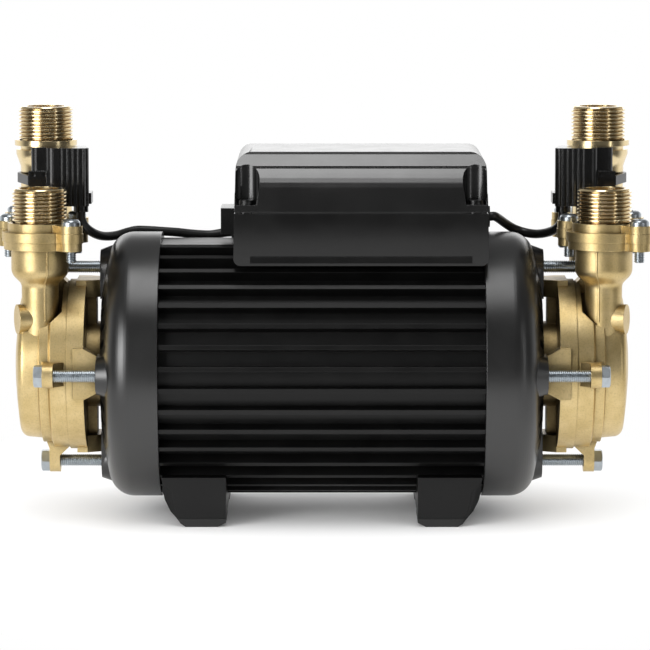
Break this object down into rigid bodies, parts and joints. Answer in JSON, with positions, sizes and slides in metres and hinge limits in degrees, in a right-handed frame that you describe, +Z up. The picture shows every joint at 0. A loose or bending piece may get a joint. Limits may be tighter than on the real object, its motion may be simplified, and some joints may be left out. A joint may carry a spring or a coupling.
{
  "type": "booster pump set",
  "caption": "Booster pump set: a finned electric motor drives a brass centrifugal pump on each shaft end, with threaded ports, flow switches and a terminal box.",
  "frame": {"origin": "on the floor, under the middle of the motor", "axes": "+X along the shaft towards the end the terminal box is set to, +Y to the back, +Z up"},
  "size_m": [0.3174, 0.13, 0.1985],
  "materials": {
    "black_paint": "satin",
    "core_steel": "matte",
    "copper_wire": "gloss",
    "bright_steel": "polished",
    "zinc_steel": "bright zinc",
    "black_plastic": "satin",
    "black_rubber": "matte",
    "pale_plastic": "gloss",
    "board_green": "satin",
    "cast_brass": "as cast, blasted",
    "machined_brass": "machined",
    "impeller_plastic": "satin",
    "seal_carbon": "lapped"
  },
  "bodies": {
    "pump_frame": {"motor_shell": "black_paint", "left_end_bell": "black_paint", "right_end_bell": "black_paint", "stator_core": "core_steel", "stator_windings": "copper_wire", "bearing_outer_rings": "bright_steel", "bearing_balls": "bright_steel", "left_foot_cradle": "black_paint", "right_foot_cradle": "black_paint", "rubber_feet": "black_rubber", "terminal_box_base": "black_plastic", "terminal_box_lid": "black_plastic", "lid_gasket": "black_rubber", "lid_screws": "zinc_steel", "run_capacitor": "pale_plastic", "control_board": "board_green", "terminal_block": "pale_plastic", "mains_gland": "black_plastic", "lead_grommets": "black_rubber", "left_pump_bracket": "cast_brass", "right_pump_bracket": "cast_brass", "left_pump_casing": "cast_brass", "right_pump_casing": "cast_brass", "seal_seats": "seal_carbon", "casing_seals": "black_rubber", "left_inlet_port": "machined_brass", "right_inlet_port": "machined_brass", "left_flow_switch_body": "machined_brass", "right_flow_switch_body": "machined_brass", "port_seals": "black_rubber", "left_reed_switch": "black_plastic", "right_reed_switch": "black_plastic", "left_switch_strap": "black_plastic", "right_switch_strap": "black_plastic", "left_sensor_lead": "black_rubber", "right_sensor_lead": "black_rubber", "pump_screws": "zinc_steel", "flange_screws": "zinc_steel"},
    "rotor": {"rotor_core": "core_steel", "motor_shaft": "bright_steel", "bearing_inner_rings": "bright_steel", "cooling_fan": "black_plastic", "left_impeller": "impeller_plastic", "right_impeller": "impeller_plastic", "impeller_nuts": "bright_steel", "seal_heads": "seal_carbon"},
    "left_float": {"left_flow_float": "black_plastic"},
    "right_float": {"right_flow_float": "black_plastic"}
  },
  "joints": [
    {"name": "rotor_spin", "type": "hinge", "parent": "pump_frame", "child": "rotor", "pos_m": [0, 0, 0.073], "axis": [1, 0, 0], "continuous": true},
    {"name": "left_float_lift", "type": "slide", "parent": "pump_frame", "child": "left_float", "axis": [0, 0, 1], "range_m": [0, 0.01]},
    {"name": "right_float_lift", "type": "slide", "parent": "pump_frame", "child": "right_float", "axis": [0, 0, 1], "range_m": [0, 0.01]}
  ]
}
